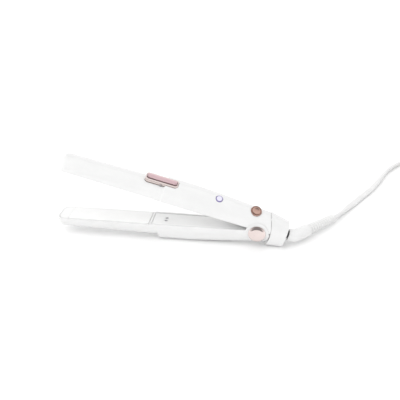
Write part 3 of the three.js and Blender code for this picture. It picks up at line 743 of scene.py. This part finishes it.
def arm_stations(inset, rear):
    tip_round = TIP_ROUND - inset
    fillet = max(TIP_FILLET - inset, 1)
    places = [TIP + inset + tip_round * (1 - math.cos(math.pi / 2 * i / 14)) for i in range(15)]
    places += [TIP + TIP_ROUND + 6 * i for i in range(1, 18)]
    places += [STEP + STEP_LENGTH * i / 10 for i in range(11)]
    places += [STEP + STEP_LENGTH + 4 * i for i in range(1, 28)]
    stations = []
    for x in [x for x in places if x < rear] + [rear]:
        a, b = arm_size(x)
        along = x - TIP - inset
        width = a - inset - round_off(tip_round, along)
        stations.append((x, width, b - inset - round_off(fillet, along), 0))
    return stations


def arm_shell(name):
    """A hollow arm, open towards the plates."""
    outer = loft(name, half_section(0), arm_stations(0, REAR))
    inner = loft("inside", half_section(0.1), arm_stations(WALL, REAR + 2))
    barrel_rim = block((TIP - 1, CARRIER_REAR), (-20, 20), (-1, BARREL_RIM))
    handle_rim = block((TIP - 1, REAR + 2), (-20, 20), (-1, HANDLE_RIM))
    return combine(outer, [inner, barrel_rim, handle_rim])


def tilted(obj):
    return moved(obj, Matrix.Translation((0, 0, TILT_CENTRE)) @ Matrix.Rotation(TILT, 4, "X"))


def control_cutters():
    side = ROCKER_HALF + GAP + BEZEL_WALL + GAP
    reach = BEZEL_END + BEZEL_WALL + GAP
    slot_x = (ROCKER_X[0] - reach, ROCKER_X[1] + reach)
    slot = drawn("slot", bowed(soft_slab(slot_x, side, (3, 20), 3.3, 0.1), slot_x, side, BEZEL_BOW))
    lens = bar_z(LENS_RADIUS + GAP, 5, 20, LENS_X)
    button = bar_z(BUTTON_RADIUS + 2 * GAP + RING_WALL, 4, 20, BUTTON_X)
    return [tilted(cutter) for cutter in (slot, lens, button)]


def seam_bar(radius, angle=0.0):
    x, z = SEAM_CENTRE
    c, s = math.cos(angle), math.sin(angle)
    return bar_y(radius, -20, 20, x * c + z * s, z * c - x * s, 256)


def hinge_bars(radius, inner, outer):
    return [bar_y(radius, inner, outer), bar_y(radius, -outer, -inner)]


def behind_seam(radius, angle=0.0):
    return combine(block((0, 40), (-30, 30), (-50, 60)), [seam_bar(radius, angle)])


def upper_shell():
    shell = combine(arm_shell("upper_shell_skin"), control_cutters())
    moved(shell, Matrix.Translation((0, 0, PLANE)))
    combine(shell, [behind_seam(SEAM_RADIUS)] + hinge_bars(CHEEK_ROOM, CHEEK_INNER - GAP, 20))
    return moved(shell, UPPER_PIVOT)


def hinge_cheeks():
    """Flush with the arms' sides round the hinge."""
    stations = arm_stations(0, REAR)
    sides = moved(loft("sides", half_section(0.05), stations), Matrix.Translation((0, 0, PLANE)))
    under = moved(loft("under", half_section(0.05), stations), Matrix.Rotation(math.pi, 4, "X"))
    combine(sides, [moved(under, Matrix.Translation((0, 0, PLANE)))], "UNION")
    bars = together(hinge_bars(CHEEK_RADIUS, CHEEK_INNER, 20))
    return combine(bars, [sides], "INTERSECT")


def lower_shell():
    shell = moved(arm_shell("lower_shell_skin"), Matrix.Rotation(math.pi, 4, "X"))
    moved(shell, Matrix.Translation((0, 0, PLANE)))
    room = [bar_y(BRACKET_ROOM, -CHEEK_INNER, CHEEK_INNER), block((0, 40), (-30, 30), (-1, 20))]
    ends = [behind_seam(SEAM_RADIUS - GAP, OPEN * part) for part in (0, 0.5, 1)]
    combine(shell, room + ends)
    return moved(combine(shell, [hinge_cheeks()], "UNION"), LOWER_PIVOT)


def rear_cap():
    """Cap between the seam and the swivel, its rear edge rounded."""
    rear, wall, middle, fillet = 31.5, 1.8, 2.9, 1.2
    front, back = (13.3, 17.3), (12.7, 13.8)

    def station(x, inset):
        a = between(x, REAR, rear, (front[0], back[0])) - inset
        return x, a, between(x, REAR, rear, (front[1], back[1])) - inset, middle

    rounding = [math.pi / 2 * i / 8 for i in range(9)]
    end = [station(rear - fillet * (1 - math.sin(t)), fillet * (1 - math.cos(t))) for t in rounding]
    outer = loft("rear_cap_skin", full_section(), [station(6 + 2 * i, 0) for i in range(11)] + end)
    places = ((0, wall), (REAR, wall), (rear - wall, wall + 0.6))
    inner = loft("inside", full_section(), [station(x, inset) for x, inset in places])
    combine(inner, [seam_bar(SEAM_RADIUS + GAP + wall)])
    on_axis = Matrix.Translation((0, 0, SWIVEL_HEIGHT)) @ Matrix.Rotation(math.pi / 2, 4, "Y")
    hole = moved(bar_z(4.9, 5, 40), on_axis)
    return moved(combine(outer, [inner, seam_bar(SEAM_RADIUS + GAP), hole]), UPPER_PIVOT)


def add_arms():
    shell = MATERIALS["shell"]
    finished(upper_shell(), "upper_arm", "shell", shell, "upper_shell", angle=30)
    cheeks = ("left_hinge_cheek", "right_hinge_cheek")
    finished(lower_shell(), "lower_arm", "shell", shell, "lower_shell", *cheeks, angle=30)
    finished(rear_cap(), "upper_arm", "shell", shell, "rear_cap", angle=30)
    for arm, place in (("upper", UPPER_ARM), ("lower", LOWER_ARM)):
        plate = drawn(f"{arm}_ceramic_plate", soft_slab(PLATE_X, PLATE_HALF, PLATE_Z, 1.4, 0.8))
        finished(moved(plate, place), f"{arm}_plate", "plate", MATERIALS["plate"], f"{arm}_heater_plate")
        for side, name in ((-1, "left"), (1, "right")):
            screw = moved(cover_screw(f"{arm}_{name}_cross_screw", side), place)
            node = f"{arm}_{name}_cover_screw"
            finished(screw, f"{arm}_arm", "steel", MATERIALS["steel"], node, angle=30)


def cover_screw(name, side):
    """Small pan head screw with a cross recess, its head facing the other arm."""
    head = [(0, 0), (0.8, 0.02), (1.3, 0.14), (1.6, 0.4), (1.7, 0.7), (1.7, 1.2)]
    shank = [(0.8, 1.3), (0.8, 7), (0, 7)]
    screw = drawn(name, turned(head + shank, 40))
    cross = [block((-0.95, 0.95), (-0.2, 0.2), (-1, 0.6)), block((-0.2, 0.2), (-0.95, 0.95), (-1, 0.6))]
    x, y = SCREW_PLACE
    return moved(combine(screw, cross), Matrix.Translation((x, side * y, 1.2)))


# ---------------------------------------------------------------- controls
def rocker_bezel():
    side = ROCKER_HALF + GAP
    x = (ROCKER_X[0] - BEZEL_END, ROCKER_X[1] + BEZEL_END)
    outside_x = (x[0] - BEZEL_WALL, x[1] + BEZEL_WALL)
    outside = soft_slab(outside_x, side + BEZEL_WALL, BEZEL_Z, 3, 0.7)
    window = drawn("window", bowed(soft_slab(x, side, (0, 20), 2, 0.1), x, side, ROCKER_BOW))
    bezel = drawn("polished_bezel", bowed(outside, outside_x, side + BEZEL_WALL, BEZEL_BOW))
    board_room = block((x[0] - 5, x[1] + 5), (-12, 12), (0, BOARD_TOP + GAP))
    moved(board_room, Matrix.Rotation(-TILT, 4, "X") @ Matrix.Translation((0, 0, -TILT_CENTRE)))
    return combine(bezel, [window, board_room])


def power_button():
    profile = [(0, 6.4), (4.6, 6.4), (4.9, 6.7), (4.9, 9.6), (4.8, 9.95), (4.5, 10.25), (4.1, 10.35)]
    profile += [(3.6, 10.3), (3.0, 10.05), (2.2, 9.85), (1.2, 9.75), (0, 9.7)]
    return moved(drawn("metal_button", turned(profile)), Matrix.Translation((BUTTON_X, 0, 0)))


def button_ring():
    inner, outer = BUTTON_RADIUS + GAP, BUTTON_RADIUS + GAP + RING_WALL
    profile = [(inner, 5.2), (outer, 5.2), (outer, 9.9), (outer - 0.1, 10.1), (outer - 0.3, 10.22)]
    profile += [(inner + 0.3, 10.22), (inner + 0.1, 10.1), (inner, 9.9), (inner, 5.2)]
    vertices, faces = through_rings(turned(profile), close=False)
    ring = new_object("polished_button_ring", vertices, faces, place=Matrix.Identity(4))
    return moved(ring, Matrix.Translation((BUTTON_X, 0, 0)))


def indicator():
    low, high = LENS_Z
    rim = [(0, low), (LENS_RADIUS, low), (LENS_RADIUS, high - 0.4), (3.8, high - 0.2), (3.6, high - 0.06)]
    dome = [(3.2, high + 0.05), (2.4, high + 0.18), (1.2, high + 0.26), (0, high + 0.28)]
    return moved(drawn("light_lens", turned(rim + dome)), Matrix.Translation((LENS_X, 0, 0)))


def add_controls():
    rose, satin = MATERIALS["rose"], MATERIALS["satin"]
    height = (ROCKER_Z[0], ROCKER_Z[1] + ROCKER_DIP / 2)
    slab = soft_slab(ROCKER_X, ROCKER_HALF, height, 1.8, 0.9, 0.25)
    shaped = bowed(slab, ROCKER_X, ROCKER_HALF, ROCKER_BOW, ROCKER_DIP, ROCKER_Z[0] + 2)
    rocker = drawn("satin_rocker", shaped)
    finished(moved(rocker, CONTROLS), "rocker", "rose", satin, "temperature_rocker")
    finished(moved(rocker_bezel(), CONTROLS), "upper_arm", "rose", rose, "rocker_bezel")
    finished(moved(power_button(), CONTROLS), "button", "copper", MATERIALS["copper"], "power_button")
    finished(moved(button_ring(), CONTROLS), "upper_arm", "rose", MATERIALS["copper"], "button_ring")
    finished(moved(indicator(), CONTROLS), "upper_arm", "lens", MATERIALS["lens"], "indicator_lens")


def pivot_cap(name, side):
    """Disc with a level middle and a border that slopes more and more towards its rim."""
    radius, level, steps = CAP_RADIUS - 0.1, 14.0, 28
    profile = [(0, 13.65), (radius - 0.1, 13.65), (CAP_RADIUS, 13.8), (CAP_RADIUS, 13.9)]
    for i in range(steps):
        r = radius * (1 - i / steps)
        profile.append((r, level))
        level += radius / steps * math.tan(CAP_SLOPE * smooth(r, 5.0, 9.0))
    cap = drawn(name, turned(profile + [(0, level)], 128))
    return moved(cap, LOWER_PIVOT @ Matrix.Rotation(-side * math.pi / 2, 4, "X"))


def add_pivot_caps():
    for side, name in ((-1, "left"), (1, "right")):
        cap = pivot_cap(f"{name}_polished_cap", side)
        finished(cap, "lower_arm", "rose", MATERIALS["rose"], f"{name}_pivot_cap")


# ---------------------------------------------------------------- swivel, relief, tie and plug
ELBOW_START = 34.5
ELBOW_BEND = 41.2
ELBOW_ARM = 23.0
ELBOW_RADIUS = 7.0
ELBOW_CORNER = 5.5
PLUG_PLACE = (363.5, 196.9, 9.05)
PLUG_TURN = math.atan2(-3.3, -12.5)
BLADE_X = (36.6, 52.6)
BLADE_SIDE = 6.35  # of each blade from the plug's middle
BLADE_HOLE_X = 49.2


def on_swivel_axis(x):
    """A place on the swivel's axis at rest, in the row's millimetres."""
    return UPPER_PIVOT @ Vector((x, 0, SWIVEL_HEIGHT)) / MM


def pointed_along(way, start):
    return Matrix.Translation(start) @ Vector((0, 0, 1)).rotation_difference(way).to_matrix().to_4x4()


def add_swivel():
    bend, start = on_swivel_axis(ELBOW_BEND), on_swivel_axis(ELBOW_START)
    way = (Vector(EXIT) - bend).normalized()
    end = bend + way * ELBOW_ARM
    back = (start - bend).normalized()
    before, after = bend + back * ELBOW_CORNER, bend + way * ELBOW_CORNER
    line = [start.lerp(before, i / 3) for i in range(3)]
    for i in range(17):
        t = i / 16
        line.append(before * (1 - t) ** 2 + bend * 2 * t * (1 - t) + after * t ** 2)
    line += [after.lerp(end, i / 12) for i in range(1, 13)]
    rings = elbow_rings(line)
    elbow = new_object("swivel_elbow_skin", *through_rings(rings))
    finished(elbow, "swivel", "shell", MATERIALS["shell"], "swivel_elbow", angle=50)
    length = (Vector(EXIT) - end).length
    sleeve = strain_relief(ROW @ pointed_along(way, end), length)
    finished(sleeve, "swivel", "cord", MATERIALS["cord"], "strain_relief", angle=60)
    return elbow, sleeve


def elbow_rings(line):
    """Round rings along the elbow, rounded at both ends."""
    rings = []
    last = len(line) - 1
    for i, point in enumerate(line):
        way = (line[min(i + 1, last)] - line[max(i - 1, 0)]).normalized()
        side = way.cross(Vector((0, 0, 1))).normalized()
        up = side.cross(way)
        from_start = (point - line[0]).length
        from_end = (point - line[-1]).length
        taper = 1 - 0.06 * (1 - smooth(from_start, 0, 1.2)) - 0.05 * (1 - smooth(from_end, 0, 2.5))
        radius = ELBOW_RADIUS * taper
        rings.append([point + side * radius * math.cos(a) + up * radius * math.sin(a)
                      for a in full_turn(56)])
    return rings


def add_tie():
    """Band wrapped round the coil on its -X side."""
    inner, outer, height = 30.2, 61.4, 10.0
    band = drawn("coil_band", soft_slab((-outer - 1.3, 1.3 - inner), 4.5, (0.05, height + 1.3), 1.4, 0.6))
    hole = drawn("hole", soft_slab((-outer, -inner), 6, (TIE_WALL, height), 1.6, 1.2))
    tie = combine(band, [hole])
    moved(tie, ROW @ Matrix.Translation((*COIL_CENTRE, 0)))
    return finished(tie, "upper_arm", "cord", MATERIALS["cord"], "cord_tie")


def add_plug():
    """Two-blade plug with a waisted, ribbed body, drawn along +X from the cord's end."""
    place = ROW @ Matrix.Translation(PLUG_PLACE) @ Matrix.Rotation(PLUG_TURN, 4, "Z")
    stations = []
    for i in range(73):
        x = i / 2
        size = 0.42 + 0.16 * smooth(x, 0, 9) + 0.42 * smooth(x, 7, 18) - 0.1 * smooth(x, 33.5, 36) ** 2
        size -= 0.035 * max(0, math.sin((x - 19) * math.pi / 1.6)) * (19 < x < 31)
        stations.append((x + GAP, 13 * size, 9 * size, 0))
    body = moved(loft("moulded_plug", full_section(72, 3), stations), place)
    pieces = [finished(body, "upper_arm", "cord", MATERIALS["cord"], "plug_body", angle=45)]
    for side, name in ((-1, "left"), (1, "right")):
        slab = soft_slab(BLADE_X, 3.1, (-0.75, 0.75), 1.2, 0.25)
        blade = combine(drawn(f"{name}_flat_blade", slab), [bar_z(1.6, -2, 2, BLADE_HOLE_X)])
        beside = Matrix.Translation((0, side * BLADE_SIDE, 0)) @ Matrix.Rotation(math.pi / 2, 4, "X")
        moved(blade, place @ beside)
        pieces.append(finished(blade, "upper_arm", "brass", MATERIALS["brass"], f"{name}_plug_blade"))
    return pieces


# ---------------------------------------------------------------- inside pieces keep their CAD shape
KEPT = {
    "inner": ("upper_inner_cover", "lower_inner_cover", "upper_plate_carrier", "lower_plate_carrier",
              "hinge_bracket"),
    "steel": ("upper_front_plate_spring", "upper_rear_plate_spring", "lower_front_plate_spring",
              "lower_rear_plate_spring", "rocker_pin", "hinge_pin", "hinge_spring", "swivel_retainer"),
    "ceramic": ("upper_heater", "lower_heater", "thermal_fuse", "thermistor"),
    "dark": ("upper_heater_lead", "lower_heater_lead", "front_rocker_switch", "rear_rocker_switch",
             "power_switch", "swivel_stem", "inner_lead"),
    "board": ("control_board",),
    "bush": ("left_bush", "right_bush"),
}


def paint_kept():
    for material, nodes in KEPT.items():
        for node in nodes:
            frame["nodes"][node].data.materials.clear()
            frame["nodes"][node].data.materials.append(MATERIALS[material])


def flatten_springs():
    """The leaf springs flatten against their carriers as the plates are pressed in."""
    for arm, place in (("upper", UPPER_ARM), ("lower", LOWER_ARM)):
        outwards = (place.to_3x3() @ Vector((0, 0, 1))).normalized()
        seat = place @ Vector((0, 0, SPRING_SEAT))
        for end in ("front", "rear"):
            spring = frame["nodes"][f"{arm}_{end}_plate_spring"]
            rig.squash(spring, f"{arm}_plate_float", axis=tuple(outwards), anchor=tuple(seat),
                      keep=SPRING_PRESSED)


# ---------------------------------------------------------------- studio
def soft_sun(name, coming_from, width, strength):
    """A wide soft source that polished metal doesn't mirror."""
    data = bpy.data.lights.new(name, "SUN")
    data.angle = math.radians(width)
    data.energy = strength
    light = bpy.data.objects.new(name, data)
    light.rotation_euler = Vector(coming_from).to_track_quat("Z", "Y").to_euler()
    light.visible_glossy = False
    bpy.context.scene.collection.objects.link(light)


def add_floor():
    glow = {"Emission_Color": (1, 1, 1, 1), "Emission_Strength": 0.03}
    material, tree, shader = principled("pale_floor", **glow)
    dark, light = (0.93, 0.93, 0.93), (0.95, 0.95, 0.95)
    shade_between(tree, noise(tree, 40, 3), dark, light, shader.inputs["Base Color"])
    range_of(tree, noise(tree, 130, 4), 0.6, 0.75, shader.inputs["Roughness"])
    corners = [(-30, -30, 0), (30, -30, 0), (30, 30, 0), (-30, 30, 0)]
    floor = new_object("floor", corners, [(0, 1, 2, 3)], Matrix())
    floor.data.materials.append(material)
    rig.stage(floor)


def add_world():
    """White all round, with a dark patch high on the thumb's side for the polished metal to mirror."""
    world = bpy.data.worlds.new("studio")
    bpy.context.scene.world = world
    world.use_nodes = True
    tree = world.node_tree
    place = tree.nodes.new("ShaderNodeTexCoord")
    toward = tree.nodes.new("ShaderNodeVectorMath")
    toward.operation = "DOT_PRODUCT"
    toward.inputs[1].default_value = (0, -0.94, 0.34)
    patch = tree.nodes.new("ShaderNodeMapRange")
    patch.interpolation_type = "SMOOTHSTEP"
    patch.inputs["From Min"].default_value = 0.25
    patch.inputs["From Max"].default_value = 0.85
    patch.inputs["To Min"].default_value = 1.0
    patch.inputs["To Max"].default_value = 0.28
    tree.links.new(place.outputs["Generated"], toward.inputs[0])
    tree.links.new(toward.outputs["Value"], patch.inputs["Value"])
    tree.links.new(patch.outputs["Result"], tree.nodes["Background"].inputs["Strength"])
    tree.nodes["Background"].inputs["Color"].default_value = (1, 1, 1, 1)


def add_studio():
    add_floor()
    add_world()
    soft_sun("front", (-0.3, -0.8, 0.8), 80, 1.95)
    bpy.context.scene.view_settings.view_transform = "Standard"


def declare_cord(cord, line, pieces):
    path = [point * MM for point in line]
    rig.cord(cord, exit=[MM * v for v in EXIT], length=CORD_LENGTH, diameter=MM * CORD_SIZE[0],
            far_end="plug", lay="coiled", path=path, with_pieces=pieces)


add_camera()
MATERIALS = make_materials()
flat_cord, flat_cord_line = add_cord_parts()
swivel_pieces = add_swivel()
plug_pieces = add_plug()
declare_cord(flat_cord, flat_cord_line, [*swivel_pieces, add_tie(), *plug_pieces])
add_arms()
add_controls()
add_pivot_caps()
paint_kept()
flatten_springs()
add_studio()

sizes = {"cad": [list(corner) for corner in cad_box], "visual": [list(corner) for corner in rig.bounds()]}
with open("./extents.json", "w") as size_file:
    json.dump(sizes, size_file)
